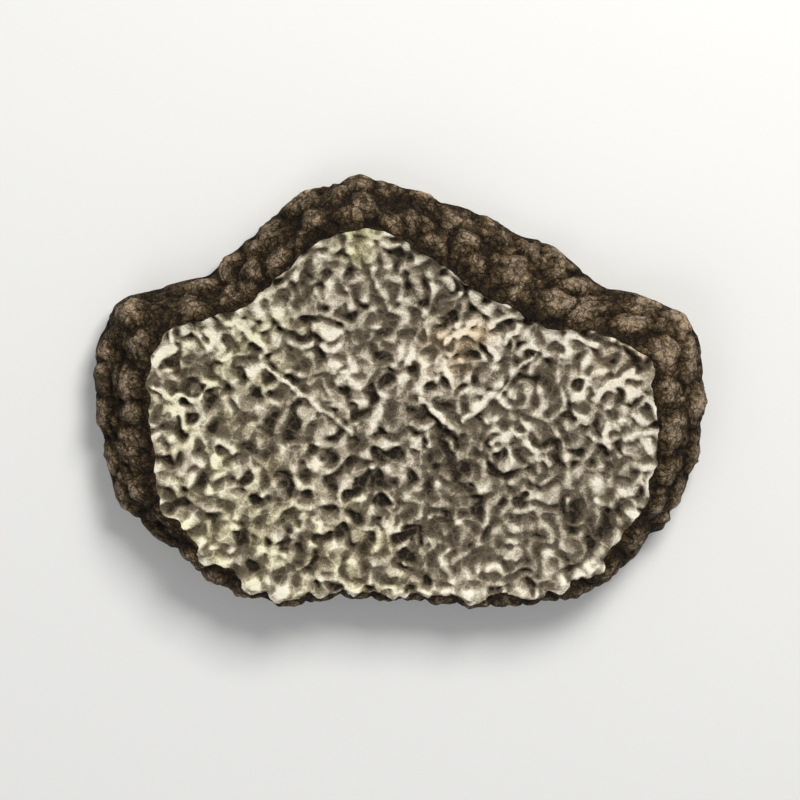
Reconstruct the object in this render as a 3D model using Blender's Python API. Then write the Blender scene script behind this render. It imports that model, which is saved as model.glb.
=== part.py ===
"""One dried slice of a black truffle, lying on a small flat spot under its middle.

The slice is one grown piece. It has two cut faces, where pale veins stand up as a net
round small pits, and round its edge the dark rind with its warts. The rind slopes
outward below the upper face, most of all at the upper right, because the slice was cut
beside the truffle's widest part. Drying has lifted the rim, so the slice is cupped.

Everything is in metres, +Z up. The origin is at the middle of the box, at its base.
"""

import math
import random

import bmesh
import bpy
import numpy as np
from mathutils import Matrix

MM = 0.001

# Driving dimensions of the slice
RIM_THICKNESS = 3.9 * MM
MIDDLE_THICKNESS = 3.6 * MM
RIM_LIFT = 0.8 * MM
LIFT_POWER = 1.4
REST_RADIUS = 5.5 * MM
RIND_BULGE = 0.5 * MM
RIM_LIP = 0.2 * MM
LIP_START = 0.9

# Net of veins on both cut faces, and the pits between them
NET_DEPTH = 0.45 * MM
SHALLOW_PIT = 0.6
JOINED_DEPTH = 0.6
JOIN_LEVEL = 1.0
JOIN_PITCH = 2.6 * MM
WANDER = 0.13 * MM
WANDER_PITCH = 3.4 * MM
RIPPLE_DIRECTIONS = 7
UPPER_NET_SEED = 21
LOWER_NET_SEED = 34
WANDER_SEED = 3

# Slow warp of the whole slice
WARP_PITCH = 26.0 * MM
WARP_HEIGHT = 0.22 * MM
WARP_SEED = 8

# Warts of the rind
WART_PITCH = 2.3 * MM
WART_HEIGHT = 0.65 * MM
WART_REACH = 0.56 * WART_PITCH
WART_ROWS = 2
WART_SHIFT = 0.28
CUT_WART = 0.5
WART_SEED = 5

# Fineness of the mesh: rings of each cut face, and rows of the rind
RINGS = 26
RIND_ROWS = 8
OVAL = 1.3
OUTLINE_STEPS = 720
EDGE_ROUNDING = 5
FLARE_ROUNDING = 30
MIDDLE_ROUNDING = 100
MIDDLE_POWER = 2.5

# Edge of the upper cut face, in mm from the middle of the slice, anticlockwise
FACE_EDGE_MM = [
    (17.4, 0.0), (16.8, 3.8), (15.9, 4.9), (14.2, 5.5), (9.9, 5.8), (8.2, 6.6),
    (5.6, 8.0), (2.2, 10.4), (-0.9, 12.4), (-2.6, 13.1), (-5.6, 12.2), (-8.2, 9.8),
    (-10.8, 7.1), (-13.8, 6.4), (-16.3, 6.0), (-17.4, 4.0), (-17.2, -2.2), (-17.0, -5.8),
    (-15.5, -8.0), (-12.0, -11.5), (-8.2, -13.1), (-3.9, -12.6), (1.3, -12.9), (4.3, -13.1),
    (9.5, -13.0), (12.9, -11.5), (14.6, -9.3), (16.8, -5.8), (17.4, -2.2),
]

# How far the rind reaches past the upper edge at its foot: degrees round from +X, mm
RIND_FLARE_MM = [
    (0, 3.4), (20, 3.8), (42, 4.7), (65, 3.8), (100, 2.5), (135, 2.8), (165, 3.7),
    (190, 3.7), (212, 1.8), (240, 0.3), (270, 0.0), (300, 0.5), (330, 2.1),
]

FLESH_COLOUR = (0.235, 0.195, 0.140, 1.0)
RIND_COLOUR = (0.048, 0.032, 0.018, 1.0)
FLESH_ROUGHNESS = 0.85
RIND_ROUGHNESS = 0.75
SHARP_ANGLE = math.radians(40)
SIXTH = math.pi / 3


def clear_scene():
    for thing in list(bpy.data.objects):
        bpy.data.objects.remove(thing)


def smoothstep(low, high, value):
    share = np.clip((value - low) / (high - low), 0.0, 1.0)
    return share * share * (3.0 - 2.0 * share)


def rounded(values, reach):
    """The values of a closed round, each averaged with its neighbours."""
    weights = np.hanning(2 * reach + 3)[1:-1]
    padded = np.concatenate([values[-reach:], values, values[:reach]])
    return np.convolve(padded, weights / weights.sum(), mode="valid")


def outline_angles():
    return np.arange(OUTLINE_STEPS) * (2 * math.pi / OUTLINE_STEPS)


def edge_radii():
    """Radius of the upper edge at even steps of angle, with its corners rounded."""
    x, y = np.array(FACE_EDGE_MM).T * MM
    radii = np.interp(outline_angles(), np.arctan2(y, x), np.hypot(x, y), period=2 * math.pi)
    return rounded(radii, EDGE_ROUNDING)


def rind_flares():
    """Reach of the rind's foot past the upper edge, at the same steps of angle."""
    degrees, reaches = np.array(RIND_FLARE_MM).T
    flares = np.interp(np.degrees(outline_angles()), degrees, reaches * MM, period=360)
    return rounded(flares, FLARE_ROUNDING)


def ripples(x, y, pitch, seed):
    """A winding pattern, mostly from -1 to 1: plane waves of about one pitch."""
    draw = random.Random(seed)
    total = np.zeros_like(x)
    for index in range(RIPPLE_DIRECTIONS):
        turn = math.pi * (index + draw.uniform(-0.3, 0.3)) / RIPPLE_DIRECTIONS
        number = 2 * math.pi / (pitch * draw.uniform(0.85, 1.15))
        phase = draw.uniform(0, 2 * math.pi)
        total += np.cos(number * (x * math.cos(turn) + y * math.sin(turn)) + phase)
    return total / math.sqrt(RIPPLE_DIRECTIONS / 2)


def plate():
    """A hexagon of six triangles, each split into small ones, and thickened to a plate."""
    bm = bmesh.new()
    # A new circle's first corner is on +Y, and this turn puts a corner on +X.
    turn = Matrix.Rotation(SIXTH / 2, 4, "Z")
    bmesh.ops.create_circle(
        bm, cap_ends=True, cap_tris=True, segments=6, radius=1.0, matrix=turn
    )
    bmesh.ops.subdivide_edges(bm, edges=bm.edges[:], cuts=RINGS - 1, use_grid_fill=True)
    raised = bmesh.ops.extrude_face_region(bm, geom=bm.faces[:])["geom"]
    upper = [part for part in raised if isinstance(part, bmesh.types.BMVert)]
    bmesh.ops.translate(bm, verts=upper, vec=(0, 0, 1))
    upright = [edge for edge in bm.edges if abs(edge.verts[0].co.z - edge.verts[1].co.z) > 0.5]
    bmesh.ops.subdivide_edges(bm, edges=upright, cuts=RIND_ROWS - 1, use_grid_fill=True)
    return bm


def ring_place(plate_x, plate_y):
    """A plate point's share of the way out, and its angle as its ring goes round."""
    angle = np.arctan2(plate_y, plate_x) % (2 * math.pi)
    from_side = angle % SIXTH - SIXTH / 2
    out = np.hypot(plate_x, plate_y) * np.cos(from_side) / math.cos(SIXTH / 2)
    along = 0.5 + np.tan(from_side) / (2 * math.tan(SIXTH / 2))
    round_angle = (np.floor(angle / SIXTH) + along) * SIXTH
    # Spread as on an oval, so that the small triangles stay even.
    return np.clip(out, 0.0, 1.0), np.arctan2(np.sin(round_angle), OVAL * np.cos(round_angle))


def is_pit(plate_x, plate_y):
    """True for every third point of the lattice, so that each pit has six neighbours."""
    second = np.round(plate_y * RINGS / math.sin(SIXTH))
    first = np.round(plate_x * RINGS - second / 2)
    return (first - second) % 3 == 0


def pit_depth(x, y, pits, seed):
    """Depth below the veins: pits of uneven depth, joined here and there into worms."""
    uneven = smoothstep(-1.0, 1.0, ripples(x, y, WANDER_PITCH, seed))
    single = NET_DEPTH * (SHALLOW_PIT + (1 - SHALLOW_PIT) * uneven)
    joined = NET_DEPTH * JOINED_DEPTH * (ripples(x, y, JOIN_PITCH, seed + 1) > JOIN_LEVEL)
    return np.where(pits, single, joined)


class Slice:
    """The slice's form: where a point of the plate lies on the real outline."""

    def __init__(self):
        self.radii = edge_radii()
        self.flares = rind_flares()
        self.middle_radii = rounded(self.radii + self.flares / 2, MIDDLE_ROUNDING)
        self.rest = self.middle_of_area()

    def middle_of_area(self):
        """Middle of area of the outline halfway down, which the weight is over."""
        angles = outline_angles()
        reach = self.radii + self.flares / 2
        third = 2 * reach**3 / (3 * (reach**2).sum())
        return (third * np.cos(angles)).sum(), (third * np.sin(angles)).sum()

    def around(self, table, angle):
        return np.interp(angle, outline_angles(), table, period=2 * math.pi)

    def reach(self, angle, height):
        """Radius of the rind at this angle, from its foot at 0 to the upper edge at 1."""
        bulge = RIND_BULGE * np.sin(math.pi * height)
        foot = self.around(self.flares, angle) * (1 - height)
        return self.around(self.radii, angle) + foot + bulge

    def ring_radius(self, out, angle, height):
        """Radius of a ring: the rim follows the outline, and the middle a plainer oval."""
        plain = self.around(self.middle_radii, angle)
        return out * (plain + (self.reach(angle, height) - plain) * out**MIDDLE_POWER)

    def lift(self, x, y):
        """How far drying has lifted the slice here: nothing on the rest spot."""
        away = np.hypot(x - self.rest[0], y - self.rest[1])
        share = np.maximum(away - REST_RADIUS, 0) / (self.radii.mean() - REST_RADIUS)
        warp = 1 + ripples(x, y, WARP_PITCH, WARP_SEED) / 2
        off_spot = smoothstep(REST_RADIUS, 2 * REST_RADIUS, away)
        return RIM_LIFT * share**LIFT_POWER + WARP_HEIGHT * warp * off_spot

    def place(self, points):
        """The plate's points moved onto the slice, before its warts."""
        plate_x, plate_y, height = points.T
        out, angle = ring_place(plate_x, plate_y)
        on_face = 1 - smoothstep(LIP_START, 1.0, out)
        radius = self.ring_radius(out, angle, height)
        x = radius * np.cos(angle)
        y = radius * np.sin(angle)
        shift_x = WANDER * on_face * ripples(x, y, WANDER_PITCH, WANDER_SEED)
        shift_y = WANDER * on_face * ripples(y, x, WANDER_PITCH, WANDER_SEED + 1)
        x = x + shift_x
        y = y + shift_y
        pits = is_pit(plate_x, plate_y)
        inner = out < 1 - 0.5 / RINGS
        off_spot = np.hypot(x - self.rest[0], y - self.rest[1]) > REST_RADIUS
        low = self.lift(x, y) + pit_depth(x, y, pits, LOWER_NET_SEED) * inner * off_spot
        body = MIDDLE_THICKNESS + (RIM_THICKNESS - MIDDLE_THICKNESS) * out**2
        lip = RIM_LIP * (1 - on_face)
        high = self.lift(x, y) + body + lip - pit_depth(x, y, pits, UPPER_NET_SEED) * inner
        return np.stack([x, y, low + height * (high - low)], axis=1), angle


def wart_tops(form):
    """Where the warts stand: a row of them round the foot and one round the top."""
    draw = random.Random(WART_SEED)
    count = round(2 * math.pi * (form.radii + form.flares / 2).mean() / WART_PITCH)
    tops = []
    for row in range(WART_ROWS):
        for index in range(count):
            turn = index + row / WART_ROWS + draw.uniform(-WART_SHIFT, WART_SHIFT)
            height = (row + 0.5 + draw.uniform(-WART_SHIFT, WART_SHIFT)) / WART_ROWS
            tops.append((2 * math.pi * turn / count, height))
    angle, height = np.array(tops).T
    radius = form.reach(angle, height)
    x = radius * np.cos(angle)
    y = radius * np.sin(angle)
    return np.stack([x, y, form.lift(x, y) + height * RIM_THICKNESS], axis=1)


def wart_relief(points, form):
    """How far a point of the rind stands out: WART_HEIGHT on a wart's top, 0 between."""
    tops = wart_tops(form)
    away = np.linalg.norm(points[:, None, :] - tops[None, :, :], axis=2).min(axis=1)
    return WART_HEIGHT * np.clip(1 - away / WART_REACH, 0.0, 1.0)


def shaped(points):
    """The plate's points on the finished slice, and the middle of its rest spot."""
    form = Slice()
    placed, angle = form.place(points)
    out, _ = ring_place(points[:, 0], points[:, 1])
    on_rind = out > 1 - 0.5 / RINGS
    on_edge = (points[:, 2] > 0.99) | (points[:, 2] < 0.01)
    relief = wart_relief(placed, form) * np.where(on_edge, CUT_WART, 1.0) * on_rind
    placed[:, 0] += relief * np.cos(angle)
    placed[:, 1] += relief * np.sin(angle)
    return placed, np.array(form.rest)


def centred(points, rest):
    """Both moved so that the middle of the slice's box is over the origin, at its base."""
    box_middle = (points[:, :2].min(axis=0) + points[:, :2].max(axis=0)) / 2
    base = points[:, 2].min()
    return points - np.array([box_middle[0], box_middle[1], base]), rest - box_middle


def finish_of(name, colour, roughness):
    material = bpy.data.materials.new(name)
    material.use_nodes = True
    shader = material.node_tree.nodes["Principled BSDF"]
    shader.inputs["Base Color"].default_value = colour
    shader.inputs["Roughness"].default_value = roughness
    shader.inputs["Metallic"].default_value = 0.0
    return material


def truffle_slice():
    bm = plate()
    points = np.array([vert.co[:] for vert in bm.verts])
    rind_faces = [face for face in bm.faces if len(face.verts) == 4]
    for face in rind_faces:
        face.material_index = 1
    placed, rest = centred(*shaped(points))
    for vert, place in zip(bm.verts, placed):
        vert.co = place
    bmesh.ops.triangulate(bm, faces=rind_faces)
    bmesh.ops.recalc_face_normals(bm, faces=bm.faces[:])
    mesh = bpy.data.meshes.new("truffle_slice")
    bm.to_mesh(mesh)
    bm.free()
    mesh.materials.append(finish_of("dried_flesh", FLESH_COLOUR, FLESH_ROUGHNESS))
    mesh.materials.append(finish_of("dark_rind", RIND_COLOUR, RIND_ROUGHNESS))
    mesh.shade_smooth()
    mesh.set_sharp_from_angle(angle=SHARP_ANGLE)
    body = bpy.data.objects.new("truffle_slice", mesh)
    bpy.context.scene.collection.objects.link(body)
    print("middle of the rest spot, mm:", round(rest[0] / MM, 2), round(rest[1] / MM, 2))


clear_scene()
truffle_slice()
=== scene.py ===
# %% [markdown]
# # A dried slice of black truffle
#
# This lesson dresses one slice of dried black truffle. The real thing is a single piece
# of fungus: a flat slab with two cut faces, where pale veins wind between dark pockets,
# and a dark, warty rind round its edge. Nothing is fastened to it and nothing moves, so
# the whole lesson is about form and finish at the scale of a tenth of a millimetre.
#
# The measured slice comes first, and at the end the fine mesh is fitted to its length and
# width.

# %% Load the measured slice
import math
import random

import bpy
import numpy as np
from mathutils import Matrix, Vector


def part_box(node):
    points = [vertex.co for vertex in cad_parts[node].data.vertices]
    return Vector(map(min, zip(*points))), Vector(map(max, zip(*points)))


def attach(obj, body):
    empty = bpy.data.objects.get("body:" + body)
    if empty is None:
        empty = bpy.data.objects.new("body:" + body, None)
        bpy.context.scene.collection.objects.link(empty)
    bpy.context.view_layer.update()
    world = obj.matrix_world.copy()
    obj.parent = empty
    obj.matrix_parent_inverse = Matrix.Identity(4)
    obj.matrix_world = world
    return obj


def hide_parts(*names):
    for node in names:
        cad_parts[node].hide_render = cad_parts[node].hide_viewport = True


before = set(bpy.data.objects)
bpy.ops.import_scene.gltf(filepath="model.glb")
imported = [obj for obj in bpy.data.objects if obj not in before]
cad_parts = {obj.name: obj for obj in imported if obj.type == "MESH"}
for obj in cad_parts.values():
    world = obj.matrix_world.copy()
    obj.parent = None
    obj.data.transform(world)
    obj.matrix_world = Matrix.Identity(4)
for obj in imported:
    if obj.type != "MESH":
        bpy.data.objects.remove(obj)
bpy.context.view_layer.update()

MM = 0.001
low_corner, high_corner = (np.array(corner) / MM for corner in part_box("truffle_slice"))
slice_size = high_corner - low_corner
print("slice measures, mm:", slice_size.round(2))

# %% [markdown]
# ## The camera
#
# The slice was photographed lying down, from almost straight above, with the lens
# leaning a little over its far side, so that some of the rind on that side shows.
# A Track To constraint could aim the camera, but it would choose its own upward
# direction. Here the three axes of the camera are written down as a rotation matrix:
# its right, its up and its back.

# %% Place the camera
LEAN = math.radians(14)
LENS_MM = 200
FRAME_MARGIN = 1.3
AIM_TO_NEAR_SIDE = 0.4 * MM

frame_width = FRAME_MARGIN * float(slice_size[0]) * MM
camera = bpy.data.objects.new("camera", bpy.data.cameras.new("camera"))
camera.data.lens = LENS_MM
camera.data.clip_start = 0.005
right = Vector((1, 0, 0))
back = Vector((0, math.sin(LEAN), math.cos(LEAN)))
target = Vector((0, -AIM_TO_NEAR_SIDE, 0.5 * float(slice_size[2]) * MM))
distance = frame_width * LENS_MM / camera.data.sensor_width
camera.matrix_world = Matrix.LocRotScale(
    target + distance * back,
    Matrix((right, back.cross(right), back)).transposed(),
    None,
)
bpy.context.scene.collection.objects.link(camera)
bpy.context.scene.camera = camera
print("camera stands", round(distance / MM), "mm from the slice")

# %% [markdown]
# ## Light and floor
#
# A dry, matt thing needs light that comes from one side, or its relief disappears. One
# soft lamp stands behind the slice and to the right, low enough to shade the pits. A
# wide, weak lamp opposite keeps the shaded side readable. A sky image would light it as
# well, but lamps show plainly where the light comes from. The floor is plain and pale.

# %% Set up the lamps and the floor
def add_lamp(name, place, size, power, colour):
    """A square lamp that faces the middle of the slice."""
    lamp = bpy.data.lights.new(name, "AREA")
    lamp.size = size
    lamp.energy = power
    lamp.color = colour
    holder = bpy.data.objects.new(name, lamp)
    holder.location = place
    holder.rotation_euler = Vector(place).to_track_quat("Z", "Y").to_euler()
    bpy.context.scene.collection.objects.link(holder)


add_lamp("key_lamp", (0.09, 0.20, 0.21), 0.11, 0.95, (1.0, 0.985, 0.96))
add_lamp("fill_lamp", (-0.2, -0.2, 0.28), 0.30, 0.28, (0.97, 0.985, 1.0))

world = bpy.data.worlds.new("soft_grey")
world.use_nodes = True
background = world.node_tree.nodes["Background"]
background.inputs["Color"].default_value = (0.95, 0.955, 0.96, 1)
background.inputs["Strength"].default_value = 0.36
bpy.context.scene.world = world
bpy.context.scene.view_settings.view_transform = "Standard"

FLOOR_REACH = 1.2
floor_mesh = bpy.data.meshes.new("floor")
square = ((-1, -1), (1, -1), (1, 1), (-1, 1))
floor_corners = [(x * FLOOR_REACH, y * FLOOR_REACH, 0) for x, y in square]
floor_mesh.from_pydata(floor_corners, [], [(0, 1, 2, 3)])
floor = bpy.data.objects.new("floor", floor_mesh)
bpy.context.scene.collection.objects.link(floor)
floor_paint = bpy.data.materials.new("pale_floor")
floor_paint.use_nodes = True
floor_shader = floor_paint.node_tree.nodes["Principled BSDF"]
floor_shader.inputs["Base Color"].default_value = (0.78, 0.78, 0.77, 1)
floor_shader.inputs["Roughness"].default_value = 0.6
floor_mesh.materials.append(floor_paint)
print("lamps and floor are set")

# %% [markdown]
# ## The outline
#
# The knife left a crisp edge round the upper face: a wide oval with a blunt point at the
# far side and a shallow hollow to the right of it. The rind flares out below that edge,
# because the truffle was still getting wider where it was cut. Bezier curves could carry
# both, but radii read by angle are easier to blend with the relief that comes later.
#
# Lengths are in millimetres from here on, and become metres in the finished mesh.

# %% Write down the outline
FACE_EDGE = [
    (17.4, 0.0), (16.8, 3.8), (15.9, 4.9), (14.2, 5.5), (9.9, 5.8), (8.2, 6.6),
    (5.6, 8.0), (2.2, 10.4), (-0.9, 12.4), (-2.6, 13.1), (-5.6, 12.2), (-8.2, 9.8),
    (-10.8, 7.1), (-13.8, 6.4), (-16.3, 6.0), (-17.4, 4.0), (-17.2, -2.2), (-17.0, -5.8),
    (-15.5, -8.0), (-12.0, -11.5), (-8.2, -13.1), (-3.9, -12.6), (1.3, -12.9), (4.3, -13.1),
    (9.5, -13.0), (12.9, -11.5), (14.6, -9.3), (16.8, -5.8), (17.4, -2.2),
]
# Degrees round from +X, and how far the rind's foot reaches past the upper edge there
RIND_FLARE = [
    (0, 3.4), (20, 3.8), (42, 4.7), (65, 3.8), (100, 2.5), (135, 2.8), (165, 3.7),
    (190, 3.7), (212, 1.8), (240, 0.3), (270, 0.0), (300, 0.5), (330, 2.1),
]
STEPS = 1440
TURN = 2 * math.pi
# How many of the steps each outline is averaged over, to either side
EDGE_SMOOTHING = 10
FLARE_SMOOTHING = 60
MIDDLE_SMOOTHING = 200
step_angles = np.arange(STEPS) * (TURN / STEPS)


def rounded(values, reach):
    """The values of a closed round, each averaged with its neighbours."""
    weights = np.hanning(2 * reach + 3)[1:-1]
    padded = np.concatenate([values[-reach:], values, values[:reach]])
    return np.convolve(padded, weights / weights.sum(), mode="valid")


edge_x, edge_y = np.array(FACE_EDGE).T
edge_angles = np.arctan2(edge_y, edge_x)
edge_radii = np.interp(step_angles, edge_angles, np.hypot(edge_x, edge_y), period=TURN)
edge_radii = rounded(edge_radii, EDGE_SMOOTHING)
flare_degrees, flare_reaches = np.array(RIND_FLARE).T
flares = np.interp(np.degrees(step_angles), flare_degrees, flare_reaches, period=360)
flares = rounded(flares, FLARE_SMOOTHING)
plain_radii = rounded(edge_radii + flares / 2, MIDDLE_SMOOTHING)
print("upper edge is", (2 * edge_radii.mean()).round(1), "mm across on average")

# %% [markdown]
# ## The warped slab
#
# Drying pulls a slice out of flat: its rim lifts, and it comes to rest on a small spot
# under its middle. Sculpting could do that by hand, but these few formulas hold the form
# exactly. They give the thickness and the lift at any place, and they are the measured
# slice's own, so the fine surface will lie on the same slab.

# %% Describe the slab
RIM_THICKNESS = 3.9
MIDDLE_THICKNESS = 3.6
RIM_LIFT = 0.8
LIFT_POWER = 1.4
REST_RADIUS = 5.5
RIND_BULGE = 0.5
RIM_LIP = 0.2
LIP_START = 0.9
WARP_PITCH = 26.0
WARP_HEIGHT = 0.22
WARP_SEED = 8
MIDDLE_POWER = 2.5


def smoothstep(low, high, value):
    """From 0 at low to 1 at high, with a soft start and end."""
    share = np.clip((value - low) / (high - low), 0.0, 1.0)
    return share * share * (3.0 - 2.0 * share)


def ripples(x, y, pitch, seed, directions=7):
    """A slow winding pattern, mostly from -1 to 1: plane waves of about one pitch."""
    draw = random.Random(seed)
    total = np.zeros_like(x)
    for index in range(directions):
        turn = math.pi * (index + draw.uniform(-0.3, 0.3)) / directions
        number = TURN / (pitch * draw.uniform(0.85, 1.15))
        phase = draw.uniform(0, TURN)
        total += np.cos(number * (x * math.cos(turn) + y * math.sin(turn)) + phase)
    return total / math.sqrt(directions / 2)


def to_xy(radius, angle):
    """The place at this distance and bearing from the middle."""
    return radius * np.cos(angle), radius * np.sin(angle)


def around(table, angle):
    """A table of the outline, read at any angle."""
    return np.interp(angle, step_angles, table, period=TURN)


def rind_reach(angle, height):
    """Radius of the rind at this angle, from its foot at 0 to the upper edge at 1."""
    bulge = RIND_BULGE * np.sin(math.pi * height)
    return around(edge_radii, angle) + (1 - height) * around(flares, angle) + bulge


def ring_radius(out, angle, height):
    """Radius of a ring: the rim follows the outline, and the middle a plainer oval."""
    plain = around(plain_radii, angle)
    return out * (plain + (rind_reach(angle, height) - plain) * out**MIDDLE_POWER)


half_way = edge_radii + flares / 2
third = 2 * half_way**3 / (3 * (half_way**2).sum())
rest_x, rest_y = (part.sum() for part in to_xy(third, step_angles))


def lift(x, y):
    """How far drying has lifted the slab here: nothing on the rest spot."""
    away = np.hypot(x - rest_x, y - rest_y)
    share = np.maximum(away - REST_RADIUS, 0) / (edge_radii.mean() - REST_RADIUS)
    warp = WARP_HEIGHT * (1 + ripples(x, y, WARP_PITCH, WARP_SEED) / 2)
    fade = smoothstep(REST_RADIUS, 2 * REST_RADIUS, away)
    return RIM_LIFT * share**LIFT_POWER + warp * fade


def slab_top(x, y, out):
    """Height of the upper face before its relief."""
    body = MIDDLE_THICKNESS + (RIM_THICKNESS - MIDDLE_THICKNESS) * out**2
    return lift(x, y) + body + RIM_LIP * smoothstep(LIP_START, 1.0, out)


print("it rests at", round(rest_x, 2), round(rest_y, 2), "mm from the outline's middle")

# %% [markdown]
# ## Fields on a grid
#
# The marbling of a truffle is too winding for Blender's noise textures, which make
# clouds and cells but no mazes. It also has to bend the surface and colour it in the
# same places. So it is worked out once, as numbers on a fine square grid, and then read
# off wherever the mesh has a point. The grid repeats at its borders, which lets a
# Fourier transform blur and filter it in one step.

# %% A grid for random fields
class Grid:
    """Square cells over a width and a height that both repeat."""

    def __init__(self, width, height, cell):
        self.columns = round(width / cell)
        self.rows = round(height / cell)
        self.cell_x = width / self.columns
        self.cell_y = height / self.rows
        waves_x = TURN * np.fft.fftfreq(self.columns, self.cell_x)
        waves_y = TURN * np.fft.fftfreq(self.rows, self.cell_y)
        self.waves = np.hypot(*np.meshgrid(waves_x, waves_y))

    def noise(self, blur, seed):
        """Smooth noise with soft blobs of about this blur, spread evenly round 0."""
        dots = np.random.default_rng(seed).standard_normal((self.rows, self.columns))
        kept = np.exp(-((self.waves * blur) ** 2) / 2)
        field = np.real(np.fft.ifft2(np.fft.fft2(dots) * kept))
        return field / field.std()

    def read(self, field, x, y):
        """The field between its points, at places measured from the grid's middle."""
        across = x / self.cell_x + self.columns / 2
        up = y / self.cell_y + self.rows / 2
        column = np.floor(across).astype(int)
        row = np.floor(up).astype(int)
        right = across - column
        above = up - row
        near_column = column % self.columns
        far_column = (column + 1) % self.columns
        lower, upper = (
            field[line % self.rows, near_column] * (1 - right)
            + field[line % self.rows, far_column] * right
            for line in (row, row + 1)
        )
        return lower * (1 - above) + upper * above


face_grid = Grid(width=48.0, height=36.0, cell=0.07)
print("the face grid has", face_grid.columns, "x", face_grid.rows, "points")

# %% [markdown]
# ## The marbling
#
# The flesh of a ripe truffle is a maze: dark pockets that hold the spores, and pale
# sterile veins between them, each well under a millimetre wide. A maze like that grows
# by itself from noise when every bump feeds its own wavelength and starves the others,
# which is the Swift-Hohenberg rule. A few rounds of it are enough, and stopping early
# keeps the dead ends and crossings that make it look grown and not printed.
#
# Two marblings are grown for each face, a fine one and a coarse one with rounder holes,
# because a real slice changes from one to the other. Both are broken up by lumps.

# %% Grow the maze of veins
FINE_PITCH = 1.08
COARSE_PITCH = 1.5
ROUND_HOLES = 0.9
MAZE_ROUNDS = 10
MAZE_GAIN = 0.35
MAZE_PACE = 0.5
PATCH_BLUR = 1.5
CRUMB_BLUR = 0.14
FINE_LUMP_BLUR = 0.32
COARSE_LUMP_BLUR = 0.30
# Shares of the maze, the lumps, the patches and the crumbs
FINE_SHARES = (0.62, 0.42, 0.12, 0.24)
COARSE_SHARES = (0.80, 0.38, 0.12, 0.22)


def grow_maze(grid, pitch, rounds, seed, holes=0.0):
    """A winding pattern of one pitch, positive on the veins; holes close it to a net."""
    field = 0.3 * grid.noise(pitch / 8, seed)
    growth = MAZE_GAIN - (1 - (grid.waves * pitch / TURN) ** 2) ** 2
    fed = 1 + MAZE_PACE * np.maximum(growth, 0)
    starved = 1 - MAZE_PACE * np.minimum(growth, 0)
    for _ in range(rounds):
        crowding = MAZE_PACE * np.fft.fft2(-(field**3) - holes * field**2)
        field = np.real(np.fft.ifft2((np.fft.fft2(field) * fed + crowding) / starved))
    return field / field.std()


def blended(layers, shares):
    """Layers added up in these shares, spread evenly round 0."""
    total = sum(share * layer for share, layer in zip(shares, layers))
    return total / total.std()


def flesh_patterns(grid, seed):
    """A fine and a coarse marbling, each a maze broken up by lumps."""
    patches = grid.noise(PATCH_BLUR, seed + 3)
    crumbs = grid.noise(CRUMB_BLUR, seed + 4)
    fine_maze = grow_maze(grid, FINE_PITCH, MAZE_ROUNDS, seed)
    fine_lumps = grid.noise(FINE_LUMP_BLUR, seed + 2)
    fine = blended((fine_maze, fine_lumps, patches, crumbs), FINE_SHARES)
    coarse_maze = grow_maze(grid, COARSE_PITCH, MAZE_ROUNDS, seed + 1, ROUND_HOLES)
    coarse_lumps = grid.noise(COARSE_LUMP_BLUR, seed + 5)
    coarse = blended((coarse_maze, coarse_lumps, patches, crumbs), COARSE_SHARES)
    return fine, coarse


upper_fine, upper_coarse = flesh_patterns(face_grid, 11)
lower_fine, lower_coarse = flesh_patterns(face_grid, 31)
print("pale share of the upper face:", (upper_fine > 0).mean().round(2))

# %% [markdown]
# Wider veins cross the maze. They are longer and paler than the rest, and they wind.
# Curves could be laid by hand, but the zero lines of a slow noise wind just as well.
# Dividing the noise by its slope turns it into a distance, so that a vein keeps its
# width all along.

# %% Lay the long veins across it
LONG_VEIN_WIDTH = 0.26
LONG_VEIN_WINDING = 2.1
LEAST_SLOPE = 0.12
STRONG_STRETCH = 2.4


def long_veins(grid, seed):
    """1 along the long winding veins, fading out sideways and along their length."""
    slow = grid.noise(LONG_VEIN_WINDING, seed)
    slope_y, slope_x = np.gradient(slow, grid.cell_y, grid.cell_x)
    away = np.abs(slow) / np.maximum(np.hypot(slope_x, slope_y), LEAST_SLOPE)
    strong = smoothstep(-0.1, 0.9, grid.noise(STRONG_STRETCH, seed + 1))
    return smoothstep(LONG_VEIN_WIDTH, 0.3 * LONG_VEIN_WIDTH, away) * strong


upper_long = long_veins(face_grid, 40)
lower_long = long_veins(face_grid, 50)
print("long veins cover", (upper_long > 0.5).mean().round(3), "of the upper face")

# %% [markdown]
# ## The marks that this slice is known by
#
# Grown patterns give the right character, but a real slice also has marks of its own: a
# few short, nearly straight veins with a groove beside them, single deep pockets with a
# pale collar, and pale knots. Painting them on would give colour and no relief. So each
# is a short line or a circle, and ripples bend its border, because nothing that grew has
# a ruled edge.

# %% List the short veins, the pockets and the knots
# Both ends of a vein, and half its width
DRAWN_VEINS = [
    ((4.2, -1.1), (6.9, 1.6), 0.15), ((6.9, 1.6), (8.8, 4.1), 0.13),
    ((7.3, -1.4), (10.2, -4.0), 0.15), ((13.2, 0.9), (15.4, 3.0), 0.24),
    ((-9.4, 2.9), (-3.9, -1.5), 0.11), ((2.9, 4.4), (4.5, 6.2), 0.18),
    ((1.2, 0.6), (2.8, -1.0), 0.15), ((10.7, 4.3), (11.6, 5.2), 0.18),
    ((11.6, 5.2), (13.0, 4.8), 0.18), ((6.9, 4.9), (7.9, 5.2), 0.20),
    ((7.9, 5.2), (7.7, 6.1), 0.16), ((6.4, -2.8), (7.2, -1.7), 0.20),
    ((13.9, -0.8), (14.2, -2.6), 0.15), ((5.8, 4.4), (6.5, 3.4), 0.15),
    ((-16.7, 3.2), (-15.6, 5.4), 0.18), ((-17.0, 1.9), (-16.0, 0.9), 0.16),
    ((-16.0, 0.9), (-14.2, 0.8), 0.15), ((-14.2, 0.8), (-13.0, 2.0), 0.14),
    ((-13.1, 5.4), (-12.6, 4.2), 0.26), ((-11.6, 6.3), (-9.8, 4.6), 0.15),
]
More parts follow.
